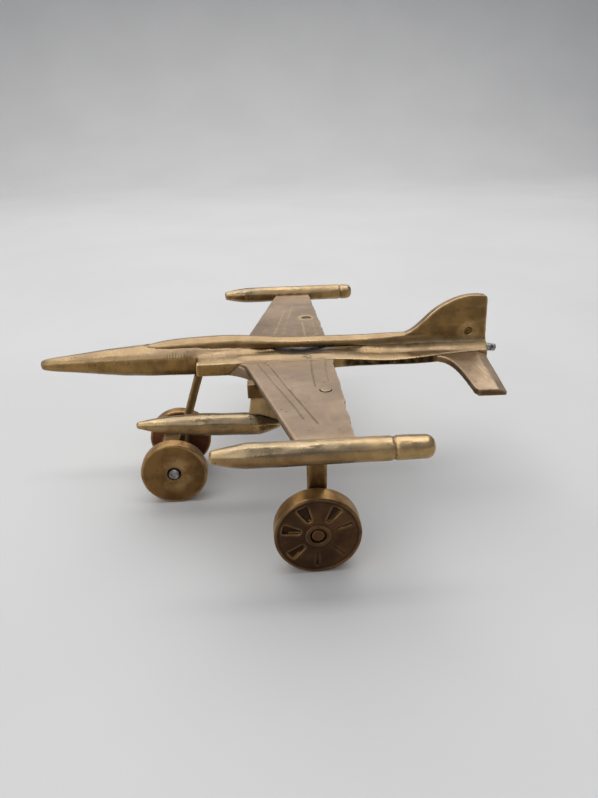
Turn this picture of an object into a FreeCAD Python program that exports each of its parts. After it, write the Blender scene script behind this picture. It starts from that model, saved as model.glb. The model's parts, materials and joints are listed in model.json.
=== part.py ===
"""Brass toy jet aeroplane on four wheels, built as separate pieces.

Frame: millimetres, nose towards -X, port side towards -Y, +Z up. The origin is on the ground
under the middle of the aeroplane, and all four wheels stand on z = 0.
"""
import FreeCAD
import Part
import math
import os
from FreeCAD import Vector

# ---- driving dimensions (mm) ----
NOSE_X = -74.6            # blunt tip of the nose
BODY_END_X = 70.4         # flat rear end of the body and trailing edge of the fin
STEP_X = -24.6            # step where the nose meets the wider centre body
WING_END_X = 21.0         # rear end of the straight-sided centre body
BODY_HALF = 10.2          # half width of the centre body, where the wing roots meet it
DECK_Z = 47.0             # top of the wings and edge of the centre deck
AXIS_Z = 45.6             # height of the nose axis
PORT, STARBOARD = -1, 1   # side factors along Y

WING_T = 2.2              # wing plate thickness
WING_LE = (-9.6, 4.0)     # leading edge X at the root and at the tank axis
WING_TE = (19.0, 17.9)    # trailing edge X at the root and at the tank axis
ROOT_FILLET = 3.0         # concave corner between body side and leading edge
WEB_Z = (43.1, 46.0)      # lower and upper edge of the thick web in that corner
WEB_LOW = ((-15.0, 0.0), (-11.8, 3.3), (-8.6, 10.8))    # X and distance from the body side
WEB_HIGH = ((-12.0, 0.0), (-9.3, 2.8), (-7.1, 10.8))
WEB_REAR_X = -5.0

TANK_Y = 68.7             # tip tank axis, from the centre plane
TANK_Z = 46.7
TANK_X = (-17.5, 35.8)    # front and rear end of the tank
TANK_R = 3.15             # largest radius, just behind the nose cone

STORE_Y = 24.0            # underwing store axis
STORE_Z = 33.2
STORE_X = (-42.4, 1.2)
STORE_R = 3.5
STORE_PITCH = 2.3         # nose-up tilt in degrees
PYLON_X = (-8.6, 2.6)
PYLON_T = 2.2
LUG_T = 3.6
LUG_FRONT = {PORT: -8.6, STARBOARD: -5.4}
LUG_REAR = -1.0
LUG_Z = 41.7              # joint line between wing lug and pylon plate

FIN_T = 2.8
FIN_TOP_Z = 62.9
FIN_PIN = (64.3, 51.0)    # X and Z of the pin through the foot of the fin
FIN_PIN_R = 1.15
SPINE_FRONT_X = -41.6
ROOT_Z = 46.0             # foot of spine and fin, inside the body
SEAT_Z = (49.2, 47.7)     # joint plane under the spine at its front and rear end
GAP_X = (0.0, 17.5)       # hollow between body and spine
GAP_DEPTH = 1.5
GAP_HALF = 4.6
GAP_TOP_Z = 48.55

TAIL_T = 2.3              # tailplane thickness
TAIL_ROOT = (5.0, 45.55)  # Y and Z of its top surface at the root
TAIL_DROOP = -0.152       # slope of the tailplane, falling outwards
TAIL_PIN_R = 1.3
TAIL_PIN_LENGTH = 9.8
TAIL_PIN_DROOP = 9.0      # degrees

NOSE_AXLE_X = -34.35
NOSE_WHEEL_R = 10.85
NOSE_WHEEL_T = 4.2
NOSE_WHEEL_Y = 10.3       # inner face of each nose wheel
MAIN_AXLE_X = 9.1
MAIN_WHEEL_R = 12.3
MAIN_WHEEL_T = 6.0
MAIN_WHEEL_Y = 48.8       # inner face of each main wheel
AXLE_R = 1.45
RUNNING_FIT = 0.05        # radial clearance of a wheel bore on its axle
SIDE_PLAY = 0.5           # gap between a wheel's inner face and what holds its axle
SEAT_FIT = 0.02           # radial clearance of a fixed pin in its seat
HEAD_R = 1.75             # peened head that keeps a wheel on
HEAD_T = 0.8

LEG_TOP = (-23.9, 42.4)   # nose leg axis at the belly, X and Z
LEG_W, LEG_Y = 2.8, 3.0   # nose leg width along X and half width along Y
LEG_SUNK = 2.0            # how far the leg reaches into the belly
LEG_END_Z = 12.6          # bottom of the leg, just above the axle
BLOCK_X = (-40.0, -31.0)  # nose axle block
BLOCK_Y = 9.8
BLOCK_Z = (6.6, 14.8)

STRUT_X = (6.8, 12.4)     # main leg plate
STRUT_T = 3.0
FLANGE_T = 1.8
FLANGE_X = (6.8, 17.2)
RIVET_X, RIVET_Y, RIVET_R = 13.65, 33.7, 1.65
RIVET_TOP = {PORT: 0.3, STARBOARD: -0.35}  # height of a rivet end above the wing top
RIVET_HEAD = (2.55, 0.8)  # radius and thickness of its head under the flange
EYE_R = 3.6               # round lower end of the main leg
FACE_R = 11.4             # radius of a main wheel's face inside its narrow rim
FACE_RECESS = 0.3         # how far the face lies below rim and hub
HUB_R = 3.5

# Hand-cut pockets in a main wheel's outer face: angle in degrees, half width at the outer
# end, depth below the rim. Three of them are hardly more than chisel marks.
POCKETS = ((20, 0.5, 0.7), (58, 1.35, 1.3), (116, 1.6, 1.3), (165, 1.45, 1.3),
           (219, 1.35, 1.2), (268, 0.5, 0.6), (318, 0.4, 0.5))
POCKET_ENDS = (0.42, 0.82)  # inner and outer end of a pocket, as shares of the wheel radius


# ---- small helpers ----
def line(a, b):
    return Part.LineSegment(a, b).toShape()


def arc(a, mid, b):
    return Part.Arc(a, mid, b).toShape()


def prism(points, direction):
    """Closed polygon extruded along a vector."""
    face = Part.Face(Part.makePolygon(list(points) + [points[0]]))
    return face.extrude(direction)


def box(x, y, z):
    """Box from three (low, high) pairs."""
    return Part.makeBox(x[1] - x[0], y[1] - y[0], z[1] - z[0], Vector(x[0], y[0], z[0]))


def rod(radius, x, z, y_low, y_high):
    """Cylinder along Y."""
    return Part.makeCylinder(radius, y_high - y_low, Vector(x, y_low, z), Vector(0, 1, 0))


def rod_z(radius, x, y, z_low, z_high):
    """Cylinder along Z."""
    return Part.makeCylinder(radius, z_high - z_low, Vector(x, y, z_low), Vector(0, 0, 1))


def spin(profile, y, z):
    """Solid of revolution about the X-parallel axis through (y, z) from (x, radius) points."""
    points = [Vector(x, 0, r) for x, r in profile]
    points = [Vector(points[0].x, 0, 0)] + points + [Vector(points[-1].x, 0, 0)]
    face = Part.Face(Part.makePolygon(points + [points[0]]))
    solid = face.revolve(Vector(0, 0, 0), Vector(1, 0, 0), 360)
    solid.translate(Vector(0, y, z))
    return solid


def mirrored(shape, side):
    """Shape as made for the starboard side, or its mirror image for the port side."""
    return shape if side == STARBOARD else shape.mirror(Vector(0, 0, 0), Vector(0, 1, 0))


def one_solid(shape):
    """The largest solid of a boolean result, with merged faces."""
    solids = sorted(shape.Solids, key=lambda s: s.Volume)
    return solids[-1].removeSplitter()


def lerp(pair, t):
    return pair[0] + (pair[1] - pair[0]) * t


# ---- body ----
def hull_section(x, half, crown, edge_top, edge_low, keel):
    """Domed deck, upright sides and round belly, as four edges across the body."""
    port_top, port_low = Vector(x, -half, edge_top), Vector(x, -half, edge_low)
    star_top, star_low = Vector(x, half, edge_top), Vector(x, half, edge_low)
    return Part.Wire([
        arc(port_top, Vector(x, 0, crown), star_top),
        line(star_top, star_low),
        arc(star_low, Vector(x, 0, keel), port_low),
        line(port_low, port_top),
    ])


def loft(sections):
    return Part.makeLoft([hull_section(*s) for s in sections], True, False)


def evenly(x_first, x_last, shapes):
    """Sections at equal steps along X."""
    step = (x_last - x_first) / (len(shapes) - 1)
    return [(x_first + i * step,) + shape for i, shape in enumerate(shapes)]


def nose_station(x, radius):
    """Nose sections are round below the axis and have a lower dome above it."""
    return (x, radius, AXIS_Z + 1.02 * radius, AXIS_Z + 0.45 * radius, AXIS_Z, AXIS_Z - radius)


def body_hull():
    """Nose, wider centre and narrow rear. The nose's dome runs on along the centre as a ridge."""
    nose = [nose_station(x, r) for x, r in (
        (NOSE_X, 1.5), (-72.0, 2.1), (-65.2, 2.85), (-55.5, 3.95), (-48.5, 4.6),
        (-40.0, 5.1), (-32.0, 5.3), (STEP_X, 5.3))]
    ridge = [(-15.0, 5.2, 50.5, 47.9, 46.0, 42.0), (-5.0, 5.0, 49.4, 47.5, 46.0, 42.2),
             (5.0, 4.8, 48.1, 47.1, 46.0, 42.4), (14.0, 4.6, 47.4, 46.8, 46.0, 42.6)]
    nose_and_ridge = loft(nose + ridge)
    joint = (BODY_HALF, 47.7, DECK_Z, 44.2, 41.6)
    centre = loft(evenly(STEP_X, WING_END_X, (
        (BODY_HALF, 48.5, DECK_Z, 43.1, 41.4),
        (BODY_HALF, 48.4, DECK_Z, 43.0, 41.3),
        (BODY_HALF, 48.2, DECK_Z, 43.1, 41.3),
        (BODY_HALF, 47.9, DECK_Z, 43.6, 41.4),
        joint)))
    rear = loft(evenly(WING_END_X, BODY_END_X, (
        joint,
        (10.2, 47.1, 46.3, 44.3, 41.6),
        (9.9, 46.7, 45.7, 44.0, 41.7),
        (8.4, 46.5, 45.4, 43.2, 41.8),
        (6.5, 46.5, 45.35, 42.7, 41.9),
        (5.4, 46.5, 45.5, 42.8, 42.0),
        (5.0, 46.5, 45.6, 43.0, 42.2))))
    return nose_and_ridge.fuse([centre, rear])


# ---- spine and fin ----
def spine_section(x, half, crown, shoulder):
    """Upright blade section with a rounded top."""
    a, b = Vector(x, -half, ROOT_Z), Vector(x, half, ROOT_Z)
    c, d = Vector(x, half, shoulder), Vector(x, -half, shoulder)
    return Part.Wire([line(a, b), line(b, c), arc(c, Vector(x, 0, crown), d), line(d, a)])


def spine_whole():
    """Canopy and spine from its front tip to the foot of the fin."""
    return Part.makeLoft([spine_section(*s) for s in (
        (SPINE_FRONT_X, 0.5, 50.5, 50.3), (-39.5, 1.6, 51.0, 50.5), (-36.0, 2.5, 51.7, 50.9),
        (-30.0, 2.95, 52.4, 51.2), (-20.0, 3.1, 52.85, 51.4), (-11.0, 3.0, 52.7, 51.2),
        (0.0, 2.75, 51.8, 50.4), (12.0, 2.65, 51.3, 50.0), (24.0, 2.6, 51.15, 49.9),
        (35.0, 2.4, 51.2, 50.0), (45.0, 1.8, 51.3, 50.3), (55.0, 1.25, 51.0, 50.4))], True, False)


def fin_plate():
    """Fin outline in the centre plane, with a curved leading edge, as a flat plate."""
    front_top, top_rear = Vector(41.0, 0, 50.6), Vector(68.6, 0, FIN_TOP_Z)
    edge = Part.BSplineCurve()
    edge.interpolate([front_top, Vector(45.2, 0, 51.9), Vector(51.5, 0, 57.4),
                      Vector(57.8, 0, 61.4), Vector(63.0, 0, 62.95), top_rear])
    rear_top = Vector(70.0, 0, FIN_TOP_Z - 1.5)
    rear_foot, front_foot = Vector(BODY_END_X, 0, ROOT_Z), Vector(front_top.x, 0, ROOT_Z)
    corner = arc(top_rear, Vector(69.65, 0, FIN_TOP_Z - 0.45), rear_top)
    wire = Part.Wire([edge.toShape(), corner, line(rear_top, rear_foot),
                      line(rear_foot, front_foot), line(front_foot, front_top)])
    plate = Part.Face(wire).extrude(Vector(0, FIN_T, 0))
    plate.translate(Vector(0, -FIN_T / 2, 0))
    return plate


def seat_block():
    """Everything above the sloping joint plane under the spine."""
    front, rear, far = SPINE_FRONT_X - 10, BODY_END_X + 10, 90
    slope = (SEAT_Z[1] - SEAT_Z[0]) / (BODY_END_X - SPINE_FRONT_X)
    z_front = SEAT_Z[0] + slope * (front - SPINE_FRONT_X)
    z_rear = SEAT_Z[0] + slope * (rear - SPINE_FRONT_X)
    return prism([Vector(front, -far, z_front), Vector(rear, -far, z_rear),
                  Vector(rear, -far, far), Vector(front, -far, far)], Vector(0, 2 * far, 0))


def gap_cutter():
    """Round-bottomed hollow in the body's ridge, which leaves daylight under the spine."""
    length = GAP_X[1] - GAP_X[0]
    radius = ((length / 2) ** 2 + GAP_DEPTH ** 2) / (2 * GAP_DEPTH)
    middle = (GAP_X[0] + GAP_X[1]) / 2
    return rod(radius, middle, GAP_TOP_Z - GAP_DEPTH + radius, -GAP_HALF, GAP_HALF)


# ---- wings ----
def rivet_hole():
    """Hole for a leg rivet, through wing and flange on the starboard side."""
    return rod_z(RIVET_R + SEAT_FIT, RIVET_X, RIVET_Y, DECK_Z - 10, DECK_Z + 10)


def root_web():
    """Thick concave corner between body side and leading edge, thinning out along the wing."""
    sections = []
    for z, curve in zip(WEB_Z, (WEB_LOW, WEB_HIGH)):
        front, middle, end = (Vector(x, BODY_HALF + out, z) for x, out in curve)
        rear = Vector(WEB_REAR_X, BODY_HALF, z)
        sections.append(Part.Wire([arc(front, middle, end), line(end, rear), line(rear, front)]))
    x, z = WEB_LOW[0][0], WEB_Z[0]
    y_end = BODY_HALF + WEB_LOW[-1][1]
    below = prism([Vector(x, BODY_HALF, z), Vector(x, y_end, DECK_Z - WING_T), Vector(x, y_end, z)],
                  Vector(WEB_REAR_X - x, 0, 0))
    return Part.makeLoft(sections, True, True).cut(below)


def wing(side, tank):
    """Flat plate with straight edges, a rounded leading edge and a concave root corner."""
    def lead(y):
        return lerp(WING_LE, (y - BODY_HALF) / (TANK_Y - BODY_HALF))

    z = DECK_Z - WING_T
    f = ROOT_FILLET
    root_front = Vector(WING_LE[0] - f * 0.75, BODY_HALF, z)
    fillet_end = Vector(lead(BODY_HALF + f), BODY_HALF + f, z)
    fillet_mid = Vector(lead(BODY_HALF) - 0.1 * f, BODY_HALF + 0.42 * f, z)
    tip_front = Vector(WING_LE[1], TANK_Y, z)
    tip_rear = Vector(WING_TE[1], TANK_Y, z)
    root_rear = Vector(WING_TE[0], BODY_HALF, z)
    outline = Part.Wire([arc(root_front, fillet_mid, fillet_end), line(fillet_end, tip_front),
                         line(tip_front, tip_rear), line(tip_rear, root_rear),
                         line(root_rear, root_front)])
    plate = Part.Face(outline).extrude(Vector(0, 0, WING_T))
    long_edges = [e for e in plate.Edges if e.Length > 40 and e.BoundBox.XMin < 5]
    plate = plate.makeFillet(0.85, long_edges)
    plate = mirrored(plate.fuse(root_web()).cut(rivet_hole()), side)
    return one_solid(plate.cut(tank))


def tip_tank(side):
    """Turned tank: blunt nose cone, slightly tapering barrel, groove and round tail button."""
    x0, x1 = TANK_X
    groove = 25.9 if side == PORT else 30.8
    profile = [(x0, 1.3), (x0 + 0.4, 1.7), (x0 + 4.5, 2.6), (x0 + 8.5, TANK_R),
               (x0 + 20, TANK_R), (groove - 0.45, 3.1), (groove - 0.2, 2.7),
               (groove + 0.2, 2.7), (groove + 0.45, 3.1), (x1 - 2.0, 3.05),
               (x1 - 0.9, 2.7), (x1 - 0.3, 2.0), (x1, 1.2)]
    return spin(profile, side * TANK_Y, TANK_Z)


def tailplane(side, fuselage):
    """Swept plate with a little droop and a bevelled trailing edge."""
    outline = [(50.5, 4.0), (52.6, 7.0), (54.6, 8.2), (56.6, 11.0), (57.9, 15.6), (58.7, 21.4),
               (59.2, 26.6), (60.2, 28.3), (68.7, 28.6), (69.4, 4.0)]

    def sheared(x, y, dz):
        return Vector(x, y, TAIL_ROOT[1] + TAIL_DROOP * (y - TAIL_ROOT[0]) + dz)

    lead = Part.BSplineCurve()
    lead.interpolate([sheared(x, y, 0) for x, y in outline[:7]])
    corners = [sheared(x, y, 0) for x, y in outline[6:]]
    edges = [lead.toShape()] + [line(a, b) for a, b in zip(corners, corners[1:])]
    edges.append(line(corners[-1], sheared(*outline[0], 0)))
    plate = Part.Face(Part.Wire(edges)).extrude(Vector(0, 0, -TAIL_T))
    bevel = prism([sheared(66.0, 0, 0.0), sheared(70.0, 0, -1.3), sheared(70.0, 0, 3.0),
                   sheared(66.0, 0, 3.0)], Vector(0, 34, 34 * TAIL_DROOP))
    return one_solid(mirrored(plate.cut(bevel), side).cut(fuselage))


# ---- underwing stores ----
def pitched(shape):
    middle = Vector((STORE_X[0] + STORE_X[1]) / 2, 0, STORE_Z)
    shape.rotate(middle, Vector(0, 1, 0), STORE_PITCH)
    return shape


def store(side):
    """Round store with a long pointed nose and a short tail cone."""
    x0, x1 = STORE_X
    profile = [(x0, 0.8), (x0 + 0.4, 1.15), (x0 + 4, 1.95), (x0 + 8, 2.6), (x0 + 14, 3.15),
               (x0 + 20, STORE_R), (x1 - 6.5, STORE_R), (x1 - 0.4, 1.5), (x1, 1.1)]
    return pitched(spin(profile, side * STORE_Y, STORE_Z))


def pylon_lug(side, wing_plate):
    """Short block under the leading edge. The port one stands ahead of it."""
    y = side * STORE_Y
    lug = box((LUG_FRONT[side], LUG_REAR), (y - LUG_T / 2, y + LUG_T / 2), (LUG_Z, DECK_Z - 0.8))
    return one_solid(lug.cut(wing_plate))


def pylon(side, store_solid):
    """Thin plate from the lug down to the store, with a raked front edge."""
    x0, x1 = PYLON_X
    outline = [(x0 + 0.9, LUG_Z), (x0 - 0.4, STORE_Z), (x1 - 1.4, STORE_Z), (x1, LUG_Z)]
    y = side * STORE_Y - PYLON_T / 2
    plate = prism([Vector(x, y, z) for x, z in outline], Vector(0, PYLON_T, 0))
    return one_solid(plate.cut(store_solid))


# ---- undercarriage ----
def nose_leg():
    """Raked square bar from the belly to the middle of the axle block."""
    (x0, z0), x1, z1 = LEG_TOP, NOSE_AXLE_X, NOSE_WHEEL_R
    rake = (x1 - x0) / (z1 - z0)
    corners = []
    for z, sides in ((z0 + LEG_SUNK, (-1, 1)), (LEG_END_Z, (1, -1))):
        corners += [Vector(x0 + rake * (z - z0) + s * LEG_W / 2, -LEG_Y, z) for s in sides]
    bar = prism(corners, Vector(0, 2 * LEG_Y, 0))
    return bar.makeChamfer(0.35, [e for e in bar.Edges if e.Length > 20])


def nose_axle_block(leg):
    """Block across the wheels' gap, with a socket for the leg and a bore for the axle."""
    block = box(BLOCK_X, (-BLOCK_Y, BLOCK_Y), BLOCK_Z)
    block = block.makeChamfer(0.7, block.Edges)
    bore = rod(AXLE_R + SEAT_FIT, NOSE_AXLE_X, NOSE_WHEEL_R, -20, 20)
    return one_solid(block.cut([leg, bore]))


def nose_axle():
    """Steel rod with a peened head outside each wheel."""
    out = NOSE_WHEEL_Y + NOSE_WHEEL_T - HEAD_T + 0.3
    x, z = NOSE_AXLE_X, NOSE_WHEEL_R
    heads = [rod(HEAD_R, x, z, out, out + HEAD_T), rod(HEAD_R, x, z, -out - HEAD_T, -out)]
    return rod(AXLE_R, x, z, -out, out).fuse(heads).removeSplitter()


def nose_wheel(side):
    """Plain disc with broken edges and a countersink round the axle head."""
    inner, outer = NOSE_WHEEL_Y, NOSE_WHEEL_Y + NOSE_WHEEL_T
    x, z = NOSE_AXLE_X, NOSE_WHEEL_R
    disc = rod(NOSE_WHEEL_R, x, z, inner, outer)
    disc = disc.makeChamfer(0.4, [e for e in disc.Edges if e.Length > 60])
    sink = rod(HEAD_R + 0.4, x, z, outer - HEAD_T + 0.25, outer + 1)
    bore = rod(AXLE_R + RUNNING_FIT, x, z, inner - 1, outer + 1)
    return mirrored(one_solid(disc.cut([sink, bore])), side)


def wheel_pocket(angle, half, depth):
    """Wedge-shaped pocket, narrow towards the hub, cut into the outer face."""
    inner, outer = (share * MAIN_WHEEL_R for share in POCKET_ENDS)
    floor = MAIN_WHEEL_Y + MAIN_WHEEL_T - depth
    foot = 0.4 * half
    wedge = prism([Vector(inner, floor, -foot), Vector(outer, floor, -half),
                   Vector(outer, floor, half), Vector(inner, floor, foot)],
                  Vector(0, depth + 1, 0))
    wedge.rotate(Vector(0, 0, 0), Vector(0, 1, 0), -angle)
    wedge.translate(Vector(MAIN_AXLE_X, 0, MAIN_WHEEL_R))
    return wedge


def main_wheel(side):
    """Thick disc with a low rim, a raised hub and seven pockets in its outer face."""
    inner, outer = MAIN_WHEEL_Y, MAIN_WHEEL_Y + MAIN_WHEEL_T
    x, z = MAIN_AXLE_X, MAIN_WHEEL_R
    disc = rod(MAIN_WHEEL_R, x, z, inner, outer)
    disc = disc.makeChamfer(0.4, [e for e in disc.Edges if e.Length > 60])
    web = rod(FACE_R, x, z, outer - FACE_RECESS, outer + 1)
    web = web.cut(rod(HUB_R, x, z, outer - 2, outer + 2))
    sink = rod(HEAD_R + 0.55, x, z, outer - HEAD_T - 0.35, outer + 1)
    bore = rod(AXLE_R + RUNNING_FIT, x, z, inner - 1, outer + 1)
    pockets = [wheel_pocket(*pocket) for pocket in POCKETS]
    return mirrored(one_solid(disc.cut([web, sink, bore] + pockets)), side)


def main_leg(side):
    """Bent plate: flange riveted under the wing, upright with a round end at the axle."""
    top = DECK_Z - WING_T
    y_out = MAIN_WHEEL_Y - SIDE_PLAY
    y_in = y_out - STRUT_T
    upright = box(STRUT_X, (y_in, y_out), (MAIN_WHEEL_R, top))
    upright = upright.makeChamfer(0.5, [e for e in upright.Edges if e.Length > 20])
    eye = rod(EYE_R, MAIN_AXLE_X, MAIN_WHEEL_R, y_in, y_out)
    flange = box(FLANGE_X, (RIVET_Y - 3.4, y_out), (top - FLANGE_T, top))
    bore = rod(AXLE_R + SEAT_FIT, MAIN_AXLE_X, MAIN_WHEEL_R, y_in - 1, y_out + 1)
    leg = upright.fuse([eye, flange]).cut([bore, rivet_hole()])
    return mirrored(one_solid(leg), side)


def main_axle(side):
    """Brass pin fixed in the leg, with a head sunk in the wheel's hub."""
    y_in = MAIN_WHEEL_Y - SIDE_PLAY - STRUT_T - 0.6
    outer = MAIN_WHEEL_Y + MAIN_WHEEL_T
    head = outer - HEAD_T - 0.3
    x, z = MAIN_AXLE_X, MAIN_WHEEL_R
    pin = rod(AXLE_R, x, z, y_in, head).fuse(rod(HEAD_R, x, z, head, head + HEAD_T))
    return mirrored(pin.removeSplitter(), side)


def leg_rivet(side):
    """Rivet through wing and flange: the port one stands proud, the starboard one is sunk."""
    top = DECK_Z - WING_T
    shank = rod_z(RIVET_R, RIVET_X, RIVET_Y, top - FLANGE_T, DECK_Z + RIVET_TOP[side])
    head_r, head_t = RIVET_HEAD
    head = rod_z(head_r, RIVET_X, RIVET_Y, top - FLANGE_T - head_t, top - FLANGE_T)
    return mirrored(shank.fuse(head).removeSplitter(), side)


def tail_pin():
    """Short steel rod driven into the rear of the body, drooping a little."""
    pin = spin([(0, TAIL_PIN_R - 0.3), (0.3, TAIL_PIN_R), (TAIL_PIN_LENGTH - 0.3, TAIL_PIN_R),
                (TAIL_PIN_LENGTH, TAIL_PIN_R - 0.3)], 0, 0)
    pin.rotate(Vector(0, 0, 0), Vector(0, 1, 0), TAIL_PIN_DROOP)
    rear = pin.BoundBox.XMax
    pin.translate(Vector(-NOSE_X - rear, 0, 45.9))
    return pin


def fin_pin():
    """Pin through the fin, sunk below both faces."""
    reach = FIN_T / 2 - 0.3
    return rod(FIN_PIN_R, FIN_PIN[0], FIN_PIN[1], -reach, reach)


def build():
    """All pieces as {name: solid}."""
    parts = {}
    seat = seat_block()
    spine = spine_whole().fuse(fin_plate())
    blade = spine.common(seat)
    hull = body_hull().fuse(spine.cut(seat)).cut([gap_cutter(), blade])
    leg = nose_leg()
    pin = tail_pin()
    fuselage = one_solid(hull.cut([leg, pin]))
    parts["fuselage"] = fuselage
    pin_hole = rod(FIN_PIN_R + SEAT_FIT, FIN_PIN[0], FIN_PIN[1], -FIN_T, FIN_T)
    parts["spine_and_fin"] = one_solid(blade.cut([pin_hole, hull, pin]))
    parts["fin_pin"] = fin_pin()
    parts["tail_pin"] = pin
    parts["nose_leg"] = leg
    parts["nose_axle_block"] = nose_axle_block(leg)
    parts["nose_axle"] = nose_axle()
    for side, word in ((PORT, "port"), (STARBOARD, "starboard")):
        tank = tip_tank(side)
        plate = wing(side, tank)
        hung = store(side)
        parts["wing_" + word] = plate
        parts["tip_tank_" + word] = tank
        parts["tailplane_" + word] = tailplane(side, fuselage)
        parts["pylon_lug_" + word] = pylon_lug(side, plate)
        parts["pylon_" + word] = pylon(side, hung)
        parts["store_" + word] = hung
        parts["nose_wheel_" + word] = nose_wheel(side)
        parts["main_leg_" + word] = main_leg(side)
        parts["leg_rivet_" + word] = leg_rivet(side)
        parts["main_axle_" + word] = main_axle(side)
        parts["main_wheel_" + word] = main_wheel(side)
    return parts


os.makedirs("parts", exist_ok=True)
for name, shape in build().items():
    if not shape.isValid() or len(shape.Solids) != 1:
        print("CHECK", name, "valid", shape.isValid(), "solids", len(shape.Solids))
    shape.exportStep("parts/" + name + ".step")
    print("%-22s %8.1f mm3" % (name, shape.Volume))
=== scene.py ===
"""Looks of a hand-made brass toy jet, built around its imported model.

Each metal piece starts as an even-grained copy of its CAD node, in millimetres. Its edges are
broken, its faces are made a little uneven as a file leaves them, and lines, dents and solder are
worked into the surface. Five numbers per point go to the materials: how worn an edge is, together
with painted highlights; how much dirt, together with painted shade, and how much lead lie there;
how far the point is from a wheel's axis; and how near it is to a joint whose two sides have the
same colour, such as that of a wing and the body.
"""
import json
import math
import bmesh
import bpy
import numpy as np
from mathutils import Matrix, Vector
from mathutils.bvhtree import BVHTree


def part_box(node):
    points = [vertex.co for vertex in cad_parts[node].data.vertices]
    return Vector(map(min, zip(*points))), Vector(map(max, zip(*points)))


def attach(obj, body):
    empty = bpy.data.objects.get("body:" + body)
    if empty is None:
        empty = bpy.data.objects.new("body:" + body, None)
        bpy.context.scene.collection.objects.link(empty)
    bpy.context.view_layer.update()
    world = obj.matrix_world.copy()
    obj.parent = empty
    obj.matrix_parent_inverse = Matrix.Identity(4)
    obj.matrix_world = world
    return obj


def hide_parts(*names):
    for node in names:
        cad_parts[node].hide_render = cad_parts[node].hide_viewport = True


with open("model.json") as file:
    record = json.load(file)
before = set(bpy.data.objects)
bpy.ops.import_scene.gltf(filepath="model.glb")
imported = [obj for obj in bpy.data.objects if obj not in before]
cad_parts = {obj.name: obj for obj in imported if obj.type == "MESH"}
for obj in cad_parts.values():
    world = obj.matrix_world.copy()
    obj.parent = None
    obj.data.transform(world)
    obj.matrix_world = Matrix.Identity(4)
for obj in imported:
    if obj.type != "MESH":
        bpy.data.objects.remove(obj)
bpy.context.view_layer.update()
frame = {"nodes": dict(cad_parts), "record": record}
MM = 0.001
X, Y, Z = 0, 1, 2
SIDES = {"port": -1, "starboard": 1}
BODY_OF = {node: body for body, nodes in frame["record"]["behaviour"]["bodies"].items()
           for node in nodes}
SLOT_OF = {row["node"]: row["material_slot"] for row in frame["record"]["subparts"]}
TREES = {}    # search trees of the nodes' surfaces, by node
MEAN_CUT = 0.55    # share of an uneven face's depth that the file takes off on average
WORN_BULGE = 0.10      # millimetres that an edge stands out where it counts as fully worn
DIRTY_HOLLOW = 0.08    # millimetres that a corner lies in where it counts as full of dirt


def box_mm(node):
    """Lowest and highest corner of a node, in millimetres."""
    low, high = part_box(node)
    return np.array(low) / MM, np.array(high) / MM


# ---- mesh tools ----
def joined_copy(node):
    """A CAD node's mesh in millimetres with its corners joined."""
    mesh = frame["nodes"][node].data.copy()
    mesh.transform(Matrix.Scale(1 / MM, 4))
    work = bmesh.new()
    work.from_mesh(mesh)
    bmesh.ops.remove_doubles(work, verts=work.verts, dist=1e-4)
    work.to_mesh(mesh)
    work.free()
    return mesh


def grained_copy(node, grain):
    """The same shape as an even mesh of quads with the given edge length."""
    rough = bpy.data.objects.new("rough", joined_copy(node))
    bpy.context.scene.collection.objects.link(rough)
    remesh = rough.modifiers.new("grain", "REMESH")
    remesh.mode = "VOXEL"
    remesh.voxel_size = grain
    graph = bpy.context.evaluated_depsgraph_get()
    mesh = bpy.data.meshes.new_from_object(rough.evaluated_get(graph))
    bpy.data.objects.remove(rough)
    return mesh


def lumps(points, size, seed):
    """Smooth random value from -1 to 1 at each point, changing over about the given size."""
    place = points / size + 31.7 * seed
    cell = np.floor(place).astype(np.int64)
    t = place - cell
    t = t * t * (3 - 2 * t)
    total = np.zeros(len(points))
    for corner in np.ndindex(2, 2, 2):
        i = cell + corner
        h = i[:, 0] * 73856093 ^ i[:, 1] * 19349663 ^ i[:, 2] * 83492791 ^ seed * 2654435
        h = (h ^ (h >> 13)) * 1274126177 & 0x7FFFFFFF
        value = ((h ^ (h >> 15)) & 0xFFFF) / 32767.5 - 1
        share = np.ones(len(points))
        for axis in range(3):
            share = share * (t[:, axis] if corner[axis] else 1 - t[:, axis])
        total += share * value
    return total


def step(x, low, high):
    """0 below low, 1 above high, smooth between."""
    t = np.clip((x - low) / (high - low), 0, 1)
    return t * t * (3 - 2 * t)


def band(x, start, full, fade, end):
    """1 from full to fade, 0 before start and after end, smooth between."""
    return step(x, start, full) * (1 - step(x, fade, end))


def line_distance(points, path):
    """Distance of each (x, y) point from a path of straight runs."""
    best = np.full(len(points), 1e9)
    for a, b in zip(path, path[1:]):
        a, b = np.array(a, float), np.array(b, float)
        along = np.clip(((points - a) @ (b - a)) / ((b - a) @ (b - a)), 0, 1)
        best = np.minimum(best, np.linalg.norm(points - a - along[:, None] * (b - a), axis=1))
    return best


def tree_of(node):
    """Search tree of a node's surface, made when it is first asked for."""
    if node not in TREES:
        mesh = joined_copy(node)
        work = bmesh.new()
        work.from_mesh(mesh)
        TREES[node] = BVHTree.FromBMesh(work)
        work.free()
        bpy.data.meshes.remove(mesh)
    return TREES[node]


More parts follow.
